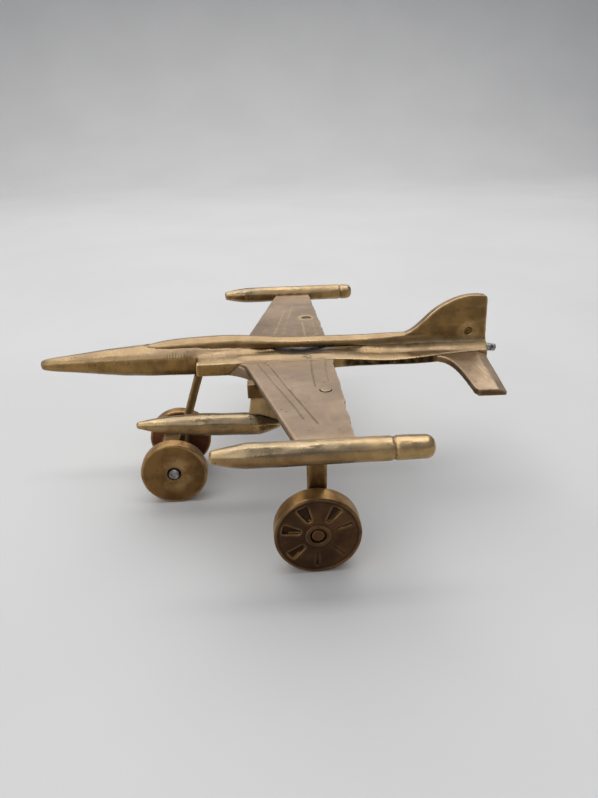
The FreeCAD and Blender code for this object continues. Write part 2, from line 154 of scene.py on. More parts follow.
class Skin:
    """The points of a grained copy, with what is known about each of them."""

    def __init__(self, node, grain, soften):
        self.node = node
        self.mesh = grained_copy(node, grain)
        self.low, self.high = box_mm(node)
        count = len(self.mesh.vertices)
        self.co = np.empty(count * 3)
        self.mesh.vertices.foreach_get("co", self.co)
        self.co = self.co.reshape(-1, 3)
        ends = np.empty(len(self.mesh.edges) * 2, dtype=np.int64)
        self.mesh.edges.foreach_get("vertices", ends)
        self.ends = ends.reshape(-1, 2)
        self.degree = np.bincount(ends, minlength=count)
        self.co = self.blurred(self.co, soften)
        normal = self.normals()
        bulge = ((self.co - self.blurred(self.co, 8)) * normal).sum(axis=1)
        self.wear_and_highlight = np.clip(bulge / WORN_BULGE, 0, 1)
        self.dirt_and_shade = np.clip(-bulge / DIRTY_HOLLOW, 0, 1)
        self.turned = np.zeros(count)
        self.lead = np.zeros(count)
        self.joint = np.zeros(count)

    def blurred(self, places, times):
        """Places averaged with their neighbours', as often as told."""
        a, b = self.ends[:, 0], self.ends[:, 1]
        count = len(places)
        for _ in range(times):
            near = np.empty_like(places)
            for axis in (X, Y, Z):
                near[:, axis] = (np.bincount(a, weights=places[b, axis], minlength=count)
                                 + np.bincount(b, weights=places[a, axis], minlength=count))
            places = 0.5 * places + 0.5 * near / self.degree[:, None]
        return places

    def smooth(self, times, share):
        """Moves each point towards its blurred place by a share of its own."""
        self.co = self.co + (self.blurred(self.co, times) - self.co) * share[:, None]

    def normals(self):
        """Direction in which the surface faces at each point."""
        self.mesh.vertices.foreach_set("co", self.co.ravel())
        self.mesh.update()
        out = np.empty(len(self.co) * 3, dtype=np.float32)
        self.mesh.vertex_normals.foreach_get("vector", out)
        return out.reshape(-1, 3).astype(float)

    def push(self, amount):
        """Moves each point along its normal by its own amount."""
        self.co = self.co + self.normals() * amount[:, None]

    def uneven(self, depth, size, seed):
        """Hollows of about the given size, as hand filing leaves them. Nothing grows."""
        value = 0.65 * lumps(self.co, size, seed) + 0.35 * lumps(self.co, size * 0.4, seed + 1)
        self.push(depth * (value - MEAN_CUT))

    def near(self, others, reach):
        """1 where another node's surface touches, falling to 0 at the given distance."""
        closest = np.full(len(self.co), 1e9)
        for other in others:
            low, high = box_mm(other)
            inside = ((self.co > low - reach) & (self.co < high + reach)).all(axis=1)
            if not inside.any():
                continue
            tree = tree_of(other)
            for i in np.nonzero(inside)[0]:
                place, _, _, distance = tree.find_nearest(Vector(self.co[i]), reach)
                if place is not None:
                    closest[i] = min(closest[i], distance)
        return 1 - step(closest, 0, reach)

    def off_axis(self, pin):
        """Distance of each point from the axis of a crosswise pin or axle."""
        low, high = box_mm(pin)
        middle = (low + high) / 2
        return np.hypot(self.co[:, X] - middle[X], self.co[:, Z] - middle[Z])

    def at_least(self, name, amount):
        """Raises one of the numbers, such as wear, to at least the given amount."""
        setattr(self, name, np.maximum(getattr(self, name), amount))

    def keep_inside(self):
        """No point leaves its CAD node's own box."""
        self.co = np.clip(self.co, self.low, self.high)


def make_piece(skin, material):
    """Turns a skin into a shown piece that stands for its node."""
    skin.keep_inside()
    mesh = skin.mesh
    mesh.vertices.foreach_set("co", skin.co.ravel())
    mesh.update()
    for name in ("wear_and_highlight", "dirt_and_shade", "turned", "lead", "joint"):
        values = getattr(skin, name)
        layer = mesh.attributes.new(name, "FLOAT", "POINT")
        layer.data.foreach_set("value", values.astype(np.float32))
    mesh.transform(Matrix.Scale(MM, 4))
    mesh.shade_smooth()
    mesh.materials.clear()
    mesh.materials.append(material)
    piece = bpy.data.objects.new("metal_" + skin.node, mesh)
    bpy.context.scene.collection.objects.link(piece)
    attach(piece, BODY_OF[skin.node])
    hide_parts(skin.node)


# ---- materials ----
def tint(red, green, blue):
    """Linear colour from the usual 0 to 255 screen values."""
    linear = [c / 12.92 if c <= 0.04045 else ((c + 0.055) / 1.055) ** 2.4
              for c in (red / 255, green / 255, blue / 255)]
    return (*linear, 1.0)


def darker(colour, share):
    """The colour with only this share of its light."""
    return tuple(share * c for c in colour[:3]) + (1.0,)


# Sockets of a Mix node that blends colours
MIX_SHARE, MIX_FIRST, MIX_SECOND, MIX_OUT = 0, 6, 7, 2


class Graph:
    """A material's nodes, added one by one."""

    def __init__(self, name):
        self.material = bpy.data.materials.new(name)
        self.material.use_nodes = True
        self.tree = self.material.node_tree
        self.shader = self.tree.nodes["Principled BSDF"]
        self.coords = self.tree.nodes.new("ShaderNodeTexCoord").outputs["Object"]

    def add(self, kind, **settings):
        node = self.tree.nodes.new("ShaderNode" + kind)
        for key, value in settings.items():
            setattr(node, key, value)
        return node

    def link(self, source, target):
        self.tree.links.new(source, target)

    def feed(self, socket, value):
        if hasattr(value, "is_output"):
            self.link(value, socket)
        else:
            socket.default_value = value

    def stretched(self, scale):
        """Coordinates multiplied by a scale of its own along each axis."""
        node = self.add("Mapping")
        self.link(self.coords, node.inputs["Vector"])
        node.inputs["Scale"].default_value = scale
        return node.outputs["Vector"]

    def noise(self, scale, detail=4.0, vector=None):
        node = self.add("TexNoise")
        self.link(vector or self.coords, node.inputs["Vector"])
        node.inputs["Scale"].default_value = scale
        node.inputs["Detail"].default_value = detail
        return node.outputs["Fac"]

    def remap(self, value, low, high, to_low=0.0, to_high=1.0):
        node = self.add("MapRange", interpolation_type="SMOOTHSTEP")
        self.link(value, node.inputs["Value"])
        for socket, number in zip(("From Min", "From Max", "To Min", "To Max"),
                                  (low, high, to_low, to_high)):
            node.inputs[socket].default_value = number
        return node.outputs["Result"]

    def maths(self, operation, a, b=0.0):
        node = self.add("Math", operation=operation)
        self.feed(node.inputs[0], a)
        self.feed(node.inputs[1], b)
        return node.outputs["Value"]

    def blend(self, share, a, b):
        node = self.add("Mix", data_type="RGBA")
        self.feed(node.inputs[MIX_SHARE], share)
        self.feed(node.inputs[MIX_FIRST], a)
        self.feed(node.inputs[MIX_SECOND], b)
        return node.outputs[MIX_OUT]

    def value_of(self, attribute):
        return self.add("Attribute", attribute_name=attribute).outputs["Fac"]

    def facing(self, axis):
        """How far the surface faces along an axis (X, Y or Z), from -1 to 1."""
        geometry = self.add("NewGeometry")
        split = self.add("SeparateXYZ")
        self.link(geometry.outputs["Normal"], split.inputs["Vector"])
        return split.outputs[axis]

    def bump(self, height, depth, below=None):
        node = self.add("Bump")
        self.link(height, node.inputs["Height"])
        node.inputs["Distance"].default_value = depth
        if below is not None:
            self.link(below, node.inputs["Normal"])
        return node.outputs["Normal"]


# Brass on both sides of a joint, where it faces sideways and where it faces up; the sideways one is
# darker as painted shade and the upward one lighter as painted light
JOINT_SIDE, JOINT_TOP = tint(132, 102, 58), tint(158, 135, 108)
JOINT_ROUGHNESS = 0.40
BRIGHT = tint(208, 174, 120)
GREY_LEAD = tint(112, 106, 102)
DIRT_AND_SHADE, SPECK = tint(38, 25, 13), tint(52, 34, 18)
WHEEL_DIRT_AND_SHADE, WHEEL_SPECK = tint(34, 23, 13), tint(44, 30, 17)
WHEEL_TREAD = tint(178, 138, 84), tint(140, 104, 60)
WHEEL_EDGE, WHEEL_RUBBED = tint(190, 152, 100), tint(172, 140, 92)
RING_TURNS = 14.0    # radians of the turned rings' wave per millimetre


def old_brass(name, bright, rubbed, brown, marks, marks_depth, roughness):
    """Hand-worked brass: rubbed on top and brown on its sides, partly as painted light on the tops and
    painted shade on the sides, and with painted shade below.

    Its edges are bright, its corners are dark, and the lead on it is dull and grey. The marks give
    the scale of the file marks along each axis, per metre.
    """
    g = Graph(name)
    patches = g.remap(g.noise(210, 5.0), 0.36, 0.66)
    clouds = g.remap(g.noise(60, 3.0), 0.35, 0.65)
    # painted light and shade: faces that point up take the lighter rubbed colour and sides the browner
    # one, partly real rubbing and tarnish
    up = g.remap(g.facing(Z), -0.25, 0.75)
    side_tarnish_and_shade = g.blend(patches, brown, darker(brown, 0.55))
    top = g.blend(clouds, rubbed, darker(rubbed, 0.78))
    rub_and_top_light = g.maths("MULTIPLY", up, g.remap(g.noise(95, 6.0), 0.2, 0.45, 0.72, 1.0))
    colour = g.blend(rub_and_top_light, side_tarnish_and_shade, top)
    # painted shade: faces that point down are darker
    below = g.remap(g.facing(Z), -0.9, 0.0, 0.75, 0.0)
    colour = g.blend(below, colour, darker(brown, 0.45))
    # at joints the same painted light: lighter where the surface faces up, darker where it faces
    # sideways
    joint = g.value_of("joint")
    colour = g.blend(joint, colour, g.blend(up, JOINT_SIDE, JOINT_TOP))
    streaks = g.noise(1.0, 6.0, g.stretched(marks))
    scratched = g.remap(streaks, 0.52, 0.72)
    colour = g.blend(g.maths("MULTIPLY", scratched, 0.14), colour, bright)
    # bright edges: real wear, together with the painted highlights that some pieces add to the same
    # number
    edge = g.maths("MULTIPLY", g.value_of("wear_and_highlight"), g.remap(g.noise(330, 4.0), 0.3, 0.6, 0.35, 1.0))
    colour = g.blend(edge, colour, bright)
    specks = g.remap(g.noise(900, 3.0), 0.66, 0.74)
    colour = g.blend(g.maths("MULTIPLY", specks, 0.6), colour, SPECK)
    # dark colour: real dirt in hollows and joints, together with the painted shade that some pieces add
    # to the same number
    dirt_and_shade = g.maths("MULTIPLY", g.value_of("dirt_and_shade"), g.remap(g.noise(420, 4.0), 0.25, 0.6, 0.5, 1.0))
    colour = g.blend(dirt_and_shade, colour, DIRT_AND_SHADE)
    colour = g.blend(g.value_of("lead"), colour, GREY_LEAD)
    g.link(colour, g.shader.inputs["Base Color"])
    g.shader.inputs["Metallic"].default_value = 0.92
    uneven = g.remap(g.noise(150, 5.0), 0.3, 0.7, roughness - 0.07, roughness + 0.10)
    uneven = g.maths("ADD", uneven, g.maths("MULTIPLY", joint, JOINT_ROUGHNESS - roughness))
    dull = g.maths("MAXIMUM", dirt_and_shade, g.value_of("lead"))
    matte = g.maths("ADD", uneven, g.maths("MULTIPLY", dull, 0.3))
    polished = g.maths("SUBTRACT", matte, g.maths("MULTIPLY", edge, 0.08))
    g.link(polished, g.shader.inputs["Roughness"])
    filed = g.bump(streaks, marks_depth)
    dented = g.bump(g.noise(380, 4.0), 0.00009, filed)
    g.link(g.bump(g.noise(1500, 2.0), 0.00003, dented), g.shader.inputs["Normal"])
    return g.material


def wheel_brass(name, face_light, face_dark, edge_share, ring_share):
    """Brown wheels with fine rings from turning on their faces, and a tread brighter than the faces,
    partly its own colour and partly painted light, with the faces in painted shade.

    The shares say how bright the edges are and how much a ring round the axle is rubbed.
    """
    g = Graph(name)
    patches = g.remap(g.noise(170, 5.0), 0.35, 0.65)
    face = g.blend(patches, face_light, face_dark)
    ring = g.maths("MULTIPLY", g.remap(g.value_of("turned"), 2.2, 3.4),
                   g.remap(g.value_of("turned"), 4.5, 7.5, 1.0, 0.0))
    rubbed = g.maths("MULTIPLY", ring, g.remap(g.noise(140, 3.0), 0.42, 0.62, 0.0, ring_share))
    face = g.blend(rubbed, face, WHEEL_RUBBED)
    # painted light and shade: the tread is lighter and the flat faces darker
    tread = g.blend(patches, *WHEEL_TREAD)
    flat_faces_in_shade = g.maths("ABSOLUTE", g.facing(Y))
    colour = g.blend(g.remap(flat_faces_in_shade, 0.35, 0.75), tread, face)
    edge = g.maths("MULTIPLY", g.value_of("wear_and_highlight"), g.remap(g.noise(300, 4.0), 0.3, 0.6, 0.3, 0.9))
    edge = g.maths("MULTIPLY", edge, edge_share)
    colour = g.blend(edge, colour, WHEEL_EDGE)
    specks = g.remap(g.noise(1100, 3.0), 0.62, 0.72)
    colour = g.blend(g.maths("MULTIPLY", specks, 0.5), colour, WHEEL_SPECK)
    # dark colour: grime, together with painted shade in the pockets and in the hole round the axle
    dirt_and_shade = g.maths("MULTIPLY", g.value_of("dirt_and_shade"), 0.85)
    colour = g.blend(dirt_and_shade, colour, WHEEL_DIRT_AND_SHADE)
    g.link(colour, g.shader.inputs["Base Color"])
    g.shader.inputs["Metallic"].default_value = 0.85
    uneven = g.remap(g.noise(190, 5.0), 0.3, 0.7, 0.30, 0.46)
    g.link(uneven, g.shader.inputs["Roughness"])
    rings = g.maths("SINE", g.maths("MULTIPLY", g.value_of("turned"), RING_TURNS))
    turned = g.bump(rings, 0.000012)
    g.link(g.bump(g.noise(520, 5.0), 0.00010, turned), g.shader.inputs["Normal"])
    return g.material


def cut_steel():
    """Sawn and hammered rod ends."""
    g = Graph("cut_steel")
    colour = g.blend(g.remap(g.noise(600, 5.0), 0.35, 0.65), tint(176, 172, 168), tint(92, 88, 86))
    colour = g.blend(g.value_of("dirt_and_shade"), colour, tint(40, 34, 30))
    g.link(colour, g.shader.inputs["Base Color"])
    g.shader.inputs["Metallic"].default_value = 0.9
    g.link(g.remap(g.noise(700, 4.0), 0.3, 0.7, 0.34, 0.6), g.shader.inputs["Roughness"])
    g.link(g.bump(g.noise(1300, 4.0), 0.00012), g.shader.inputs["Normal"])
    return g.material


MATERIALS = {
    "body_brass": old_brass(
        "body_brass", bright=BRIGHT, rubbed=tint(156, 132, 100), brown=tint(144, 109, 58),
        marks=(1900, 300, 120), marks_depth=0.00006, roughness=0.31),
    "fin_brass": old_brass(
        "fin_brass", bright=BRIGHT, rubbed=tint(154, 129, 97), brown=tint(138, 105, 58),
        marks=(160, 400, 500), marks_depth=0.00004, roughness=0.33),
    "wing_brass": old_brass(
        "wing_brass", bright=tint(190, 163, 129), rubbed=tint(157, 136, 115), brown=tint(112, 80, 44),
        marks=(420, 120, 420), marks_depth=0.00003, roughness=0.46),
    "turned_brass": old_brass(
        "turned_brass", bright=BRIGHT, rubbed=tint(156, 138, 111), brown=tint(120, 86, 44),
        marks=(110, 900, 900), marks_depth=0.00004, roughness=0.27),
    "fitting_brass": old_brass(
        "fitting_brass", bright=tint(190, 154, 102), rubbed=tint(126, 100, 66), brown=tint(112, 82, 44),
        marks=(700, 700, 140), marks_depth=0.00005, roughness=0.45),
    # painted light: paler brass for the pylons, which lie in the wing's shadow
    "pylon_lit_brass": old_brass(
        "pylon_lit_brass", bright=tint(206, 176, 128), rubbed=tint(178, 150, 110), brown=tint(184, 152, 106),
        marks=(700, 700, 140), marks_depth=0.00005, roughness=0.45),
    "wheel_brass": wheel_brass(
        "wheel_brass", face_light=tint(92, 63, 38), face_dark=tint(66, 44, 27),
        edge_share=0.6, ring_share=0.0),
    "nose_wheel_brass": wheel_brass(
        "nose_wheel_brass", face_light=tint(126, 93, 52), face_dark=tint(96, 69, 37),
        edge_share=1.0, ring_share=0.7),
    "red_wheel_brass": wheel_brass(
        "red_wheel_brass", face_light=tint(122, 72, 46), face_dark=tint(92, 53, 34),
        edge_share=1.0, ring_share=0.2),
    "steel": cut_steel(),
}


# ---- pieces ----
FACETS = 8          # flats round a tank or store
FACET_DEPTH = 0.8   # share of a full flat that the file has cut
STORE_LEAN = math.tan(math.radians(2.3))    # the stores point a little upwards

# Half width of the spine and fin along X, and the height of the joint plane under them
BLADE = ((-41.6, -36.0, -20.0, 0.0, 24.0, 45.0, 52.0, 70.4), (0.5, 2.5, 3.1, 2.75, 2.6, 1.8, 1.4, 1.4))
SEAT = ((-41.6, 70.4), (49.2, 47.7))
BEAD = 0.35         # how far solder rises above that joint
BODY_TOP = 45.5     # above this height the body's upper side begins
DECK_RIM = 47.0     # height at which the deck runs out into the wings
SIDE_RIBS, NOSE_RIBS = 1.1, 0.9    # spacing of the file ribs behind the wings and on the nose


def soldered(skin, others, blob, reach=1.2, grime=0.7):
    """Dirt and a low rough bead of solder where other nodes meet this one, and no worn edge."""
    close = skin.near(others, reach)
    skin.wear_and_highlight = skin.wear_and_highlight * (1 - close) ** 2
    skin.dirt_and_shade = skin.dirt_and_shade * (1 - close)
    skin.at_least("dirt_and_shade", grime * close ** 2 * (0.55 + 0.45 * lumps(skin.co, 0.9, 5)))
    skin.push(blob * close * (0.4 + lumps(skin.co, 1.1, 9)))


def faceted(skin, edge_angle, seed):
    """Long uneven flats left by the file on a round piece, one edge at an angle in degrees."""
    middle = (skin.low + skin.high) / 2
    lean = (skin.co[:, X] - middle[X]) * STORE_LEAN if skin.node.startswith("store") else 0.0
    up = skin.co[:, Z] - middle[Z] + lean
    out = (skin.co[:, Y] - middle[Y]) * np.sign(middle[Y])
    flat = 2 * math.pi / FACETS
    stretch = skin.co * np.array((0.35, 1.0, 1.0))
    wander = 0.16 * lumps(stretch, 3.0, seed)
    turn = np.mod(np.arctan2(up, out) - math.radians(edge_angle) + wander, flat) - flat / 2
    share = 1 - math.cos(flat / 2) / np.cos(turn)
    depth = FACET_DEPTH * (0.75 + 0.45 * lumps(stretch, 4.0, seed + 1))
    radius = np.hypot(up, out)
    skin.push(-depth * radius * share * step(radius, 0.8, 2.0))
    skin.co = skin.blurred(skin.co, 3)


def swept_up(skin, start, end, foot, width):
    """Raises the body beside the spine or fin into a smooth concave fillet."""
    x, y, z = skin.co.T
    along = band(x, start, start + 9, end - 5, end)
    aside = np.clip((np.abs(y) - np.interp(x, *BLADE) - foot) / width, 0, 1)
    facing_up = step(skin.normals()[:, Z], -0.3, 0.1)
    lift = np.clip(np.interp(x, *SEAT) + BEAD - z, BEAD, None) * (1 - aside) ** 2
    skin.co[:, Z] += np.where(z > BODY_TOP, lift * along * facing_up, 0)


def flared(skin, share, reach, height):
    """Spreads the foot of the spine or fin, so that it meets the body in a concave curve."""
    x, y, z = skin.co.T
    up = np.clip((z - np.interp(x, *SEAT)) / height, 0, 1)
    skin.co[:, Y] += np.sign(y) * step(np.abs(y), 0.2, 0.6) * share * reach * (1 - up) ** 2


def file_ribs(skin, x, y):
    """Painted shade on the ribbed sides behind the wings, ribs across the rear of the nose and a dark
    nose tip.
    """
    # painted shade: faces that point sideways behind the wings are darkened
    side = step(np.abs(skin.normals()[:, Y]), 0.6, 0.9) * band(x, 21, 24, 52, 64)
    skin.at_least("dirt_and_shade", 1.2 * side * (0.8 + 0.2 * lumps(skin.co, 2.0, 14)))
    in_groups = step(lumps(skin.co, 4.0, 15), -0.3, 0.2)
    skin.push(0.05 * side * np.sin(2 * math.pi * x / SIDE_RIBS) * in_groups)
    nose = band(x, -52, -38, -26.5, -25.2) * step(np.abs(y), 2.0, 3.5)
    skin.push(0.055 * nose * np.sin(2 * math.pi * x / NOSE_RIBS) * (0.6 + 0.4 * lumps(skin.co, 3, 4)))
    skin.at_least("dirt_and_shade", 0.35 * (1 - step(x, -73.4, -71.8)))


def lead_and_pits(skin, x, y, z):
    """Grey lead in the hollow under the spine, shade round it and a pitted spot beside it."""
    top = step(z, BODY_TOP, BODY_TOP + 0.8)
    hollow = band(x, 3, 7, 16, 21) * (1 - step(np.abs(y), 4.4, 5.6))
    skin.lead = hollow * top * np.clip(0.75 + 0.6 * lumps(skin.co, 1.3, 6), 0, 1)
    pitted = 1 - step(np.hypot(x - 10.5, y + 7.2), 0.6, 2.2)
    pitted = pitted * step(lumps(skin.co, 0.6, 12), 0.0, 0.3)
    skin.push(-0.15 * pitted)
    # painted shade: the spine's shadow on the deck round the hollow
    shaded = band(x, -4, 2, 20, 26) * (1 - step(np.abs(y), 3.2, 4.8))
    skin.at_least("dirt_and_shade", 0.25 * shaded * top)
    skin.at_least("dirt_and_shade", 0.7 * pitted)


def fuselage():
    skin = Skin("fuselage", grain=0.28, soften=4)
    x, y, z = skin.co.T
    # corners are rounder at the nose and wherever no wing is joined on
    rounder = 1 - 0.9 * step(x, -55, -38) + 0.4 * step(x, -25, -23)
    rounder = rounder - 0.5 * step(x, -13, -10) + 0.5 * step(x, 21, 24)
    skin.smooth(16, rounder)
    # the deck on each side of the spine is smooth and runs out level into the wings
    deck = band(x, -30, -24, 22, 28) * step(z, BODY_TOP, BODY_TOP + 1.0)
    deck = deck * band(np.abs(y), 3.6, 4.6, 7.5, 9.0)
    skin.smooth(50, deck)
    beside_wing = band(x, -12, -8, 16, 20)
    skin.co[:, Z] -= np.clip(z - DECK_RIM, 0, None) * beside_wing * step(np.abs(y), 6.0, 9.4)
    rim = beside_wing * step(np.abs(y), 7.0, 9.0)
    skin.dirt_and_shade = skin.dirt_and_shade * (1 - deck)
    skin.wear_and_highlight = skin.wear_and_highlight * (1 - np.maximum(deck, rim))
    # the body has its neighbours' colour beside the wings, the tailplane and the canopy
    at_wing = band(x, -17, -10, 18, 22) * step(np.abs(y), 6.5, 9.8)
    at_tailplane = step(x, 46, 54) * step(np.abs(y), 2.5, 4.8)
    at_canopy = band(x, -44, -36, -8, -3) * step(z, 48.0, 49.0)
    skin.joint = np.maximum(at_wing, 0.8 * np.maximum(at_tailplane, at_canopy))
    skin.uneven(depth=0.09, size=5.0, seed=1)
    swept_up(skin, start=-46, end=-4, foot=0.0, width=2.2)
    swept_up(skin, start=24, end=76, foot=0.45, width=3.0)
    x, y, z = skin.co.T
    file_ribs(skin, x, y)
    soldered(skin, ["spine_and_fin", "tailplane_port", "tailplane_starboard", "wing_port",
                    "wing_starboard"], blob=0.03, reach=0.8, grime=0.15)
    soldered(skin, ["nose_leg", "tail_pin"], blob=0.05)
    lead_and_pits(skin, x, y, z)
    make_piece(skin, MATERIALS["body_brass"])


def spine_and_fin():
    skin = Skin("spine_and_fin", grain=0.25, soften=2)
    skin.uneven(depth=0.08, size=6.0, seed=3)
    x = skin.co[:, X]
    flared(skin, step(x, 24, 33), reach=0.8, height=2.0)
    flared(skin, 1 - step(x, -10, -4), reach=0.6, height=1.4)
    x, y, z = skin.co.T
    # a rubbed disc round the pin
    disc = 0.35 * (1 - step(skin.off_axis("fin_pin"), 2.6, 4.4)) * step(np.abs(y), 1.0, 1.3)
    soldered(skin, ["fuselage"], blob=0.0, reach=0.6, grime=0.0)
    foot = 1 - step(z - np.interp(x, *SEAT), 0.3, 1.3)
    skin.joint = 0.8 * foot * (1 - step(x, -8, -3))
    # painted shade: the underside over the hollow is dark
    shaded_underside = band(x, -3, 2, 18, 26) * (1 - step(z, 48.8, 49.5))
    skin.at_least("dirt_and_shade", 0.8 * shaded_underside)
    skin.at_least("wear_and_highlight", disc)
    make_piece(skin, MATERIALS["fin_brass"])


# Scribed lines on the wings: paths in X and distance from the centre plane, with their depth
WING_LINES = {
    "port": (
        (((-6.0, 8.0), (-1.2, 25.6), (4.2, 44.1), (6.0, 51.6)), 0.8),
        (((-3.5, 8.5), (-1.4, 13.7), (2.4, 29.0), (5.8, 41.1), (9.4, 54.3)), 1.0),
        (((11.7, 9.0), (11.1, 18.6), (11.0, 31.0)), 1.0),
        (((16.2, 9.0), (15.3, 19.2), (15.3, 27.0)), 0.7),
        (((-7.2, 6.9), (-7.1, 7.0)), 1.4)),
    "starboard": (
        (((0.3, 12.0), (6.3, 44.3)), 0.8),
        (((3.4, 12.0), (9.6, 50.0)), 0.5),
        (((11.7, 12.0), (11.7, 28.4)), 1.0),
        (((15.8, 12.0), (15.6, 28.0)), 0.6)),
}
LINE_REACH = {"port": 0.4, "starboard": 0.7}      # half width of a scribed line
LINE_CUT = 0.15                                   # millimetres that a line of depth 1 goes in
ROOT_BROWN = {"port": 0.14, "starboard": 0.34}    # how brown a wing is at its root
RIVET_GRIME = {"port": 0.0, "starboard": 0.3}     # the sunk rivet is the darker one


def scribed(skin, word, x, out, top):
    """Cuts a wing's scribed lines, which are dark on the port wing and bright on the other."""
    flat = np.stack([x, out], axis=1)
    groove = np.zeros(len(x))
    for path, depth in WING_LINES[word]:
        on_line = 1 - step(line_distance(flat, path), 0.05, LINE_REACH[word])
        groove = np.maximum(groove, depth * on_line)
    cut = groove * top * (0.75 + 0.25 * lumps(skin.co, 2.5, 8))
    skin.co[:, Z] -= LINE_CUT * cut
    if word == "port":
        skin.at_least("dirt_and_shade", 0.7 * cut)
    else:
        skin.at_least("wear_and_highlight", cut)


def wing(word):
    side = SIDES[word]
    skin = Skin("wing_" + word, grain=0.2, soften=3)
    skin.uneven(depth=0.08, size=7.0, seed=11 + side)
    x, y, _ = skin.co.T
    out = y * side
    top = step(skin.normals()[:, Z], 0.5, 0.9)
    scribed(skin, word, x, out, top)
    # the trailing edge is cut by hand and wavers
    rear = step(x, 15.5, 17.8)
    line = np.stack([0 * y, y, 0 * y], axis=1)
    waver = 0.45 + 0.35 * lumps(line, 4.5, 70 + side) + 0.18 * lumps(line, 1.5, 73 + side)
    skin.co[:, X] -= rear * waver
    soldered(skin, ["fuselage", "tip_tank_" + word], blob=0.03, reach=0.8, grime=0.1)
    # no dirt and the neighbour's colour at the root and at the tank
    skin.dirt_and_shade = skin.dirt_and_shade * band(out, 10.4, 12.0, 63.5, 65.0)
    skin.joint = np.maximum(1 - step(out, 11.0, 18.0), step(out, 60.0, 65.0))
    ring = skin.near(["leg_rivet_" + word], 0.5)
    skin.at_least("dirt_and_shade", 0.8 * ring)
    if word == "starboard":
        rim = skin.near(["leg_rivet_starboard"], 2.2) * (1 - 0.6 * ring)
        skin.at_least("wear_and_highlight", np.clip(1.8 * rim, 0, 1) * top)
    skin.at_least("dirt_and_shade", ROOT_BROWN[word] * (1 - step(out, 11, 45)))
    make_piece(skin, MATERIALS["wing_brass"])


def tip_tank(word):
    skin = Skin("tip_tank_" + word, grain=0.25, soften=4)
    faceted(skin, edge_angle=29, seed=81 + SIDES[word])
    skin.uneven(depth=0.10, size=4.0, seed=21 + SIDES[word])
    # the point and the rear are rubbed bright
    skin.at_least("wear_and_highlight", 0.4 * (1 - step(skin.co[:, X] - skin.low[X], 2, 11)))
    rear = step(skin.co[:, X], 6, 24)
    skin.joint = 0.75 * rear
    skin.at_least("wear_and_highlight", 0.45 * rear)
    soldered(skin, ["wing_" + word], blob=0.10, reach=1.0, grime=0.0)
    # the wing's colour runs on over the top of the tank
    x, y, z = skin.co.T
    level = band(x, -9.0, 3.0, 17.5, 20.5) * step(z, 46.5, 47.2)
    level = level * (1 - step(np.abs(y), 68.0, 69.5))
    skin.at_least("joint", level)
    skin.at_least("wear_and_highlight", 0.5 * level)
    make_piece(skin, MATERIALS["turned_brass"])


def store(word):
    skin = Skin("store_" + word, grain=0.25, soften=9)
    tail = step(skin.co[:, X], -9, -5)
    skin.smooth(40, tail)
    # painted light: the tail, which lies in the wing's shadow, loses its dirt and takes the bright worn
    # colour
    skin.dirt_and_shade = skin.dirt_and_shade * (1 - tail)
    skin.at_least("wear_and_highlight", 0.7 * tail)
    faceted(skin, edge_angle=27, seed=85 + SIDES[word])
    skin.uneven(depth=0.10, size=4.0, seed=31 + SIDES[word])
    skin.at_least("wear_and_highlight", 0.45 * (1 - step(skin.co[:, X] - skin.low[X], 2, 13)))
    soldered(skin, ["pylon_" + word], blob=0.10, reach=0.8, grime=0.12)
    make_piece(skin, MATERIALS["turned_brass"])


# X of the tailplane's front edge over the distance from the centre plane, and its scribed lines
TAILPLANE_FRONT = ((4.0, 8.2, 11.0, 15.6, 28.3), (50.5, 54.6, 56.6, 57.9, 60.0))
TAILPLANE_LINES = (((61.5, 12.0), (64.5, 22.0)), ((63.8, 13.0), (65.0, 20.0)))


def tailplane(word):
    skin = Skin("tailplane_" + word, grain=0.22, soften=9)
    skin.uneven(depth=0.08, size=4.0, seed=41 + SIDES[word])
    x, y, _ = skin.co.T
    out = np.abs(y)
    skin.joint = 1 - step(out, 7.0, 15.0)
    top = step(skin.normals()[:, Z], 0.1, 0.5)
    # brown along the front edge and the tip; the top is rubbed, and painted lighter where it faces up
    front = 1 - step(x - np.interp(out, *TAILPLANE_FRONT), 0.5, 1.6)
    browned = np.maximum(front, step(out, 27.0, 28.2)) * (1 - 0.8 * top)
    skin.at_least("dirt_and_shade", 0.35 * browned * step(out, 7.0, 12.0))
    skin.at_least("wear_and_highlight", 0.45 * top)
    for path in TAILPLANE_LINES:
        line = 1 - step(line_distance(np.stack([x, out], axis=1), path), 0.1, 0.6)
        skin.at_least("wear_and_highlight", line * top)
    soldered(skin, ["fuselage"], blob=0.04, reach=1.0, grime=0.15)
    make_piece(skin, MATERIALS["wing_brass"])


def fitting(node, grain, others, finish=None, grime=0.0):
    """Any of the small legs, lugs, plates, blocks and pins."""
    skin = Skin(node, grain, 2)
    skin.at_least("dirt_and_shade", grime)
    skin.uneven(depth=0.06, size=2.5, seed=51 + len(node))
    soldered(skin, others, blob=0.05)
    make_piece(skin, MATERIALS[finish or SLOT_OF[node]])


MAIN_WHEEL_OUTER = 54.8    # distance of a main wheel's rim face from the centre plane
POCKET_END = 10.2          # about how far from the axis the pockets reach
OUTER_HALF = 2.8           # depth below the rim face that is still the wheel's outer half


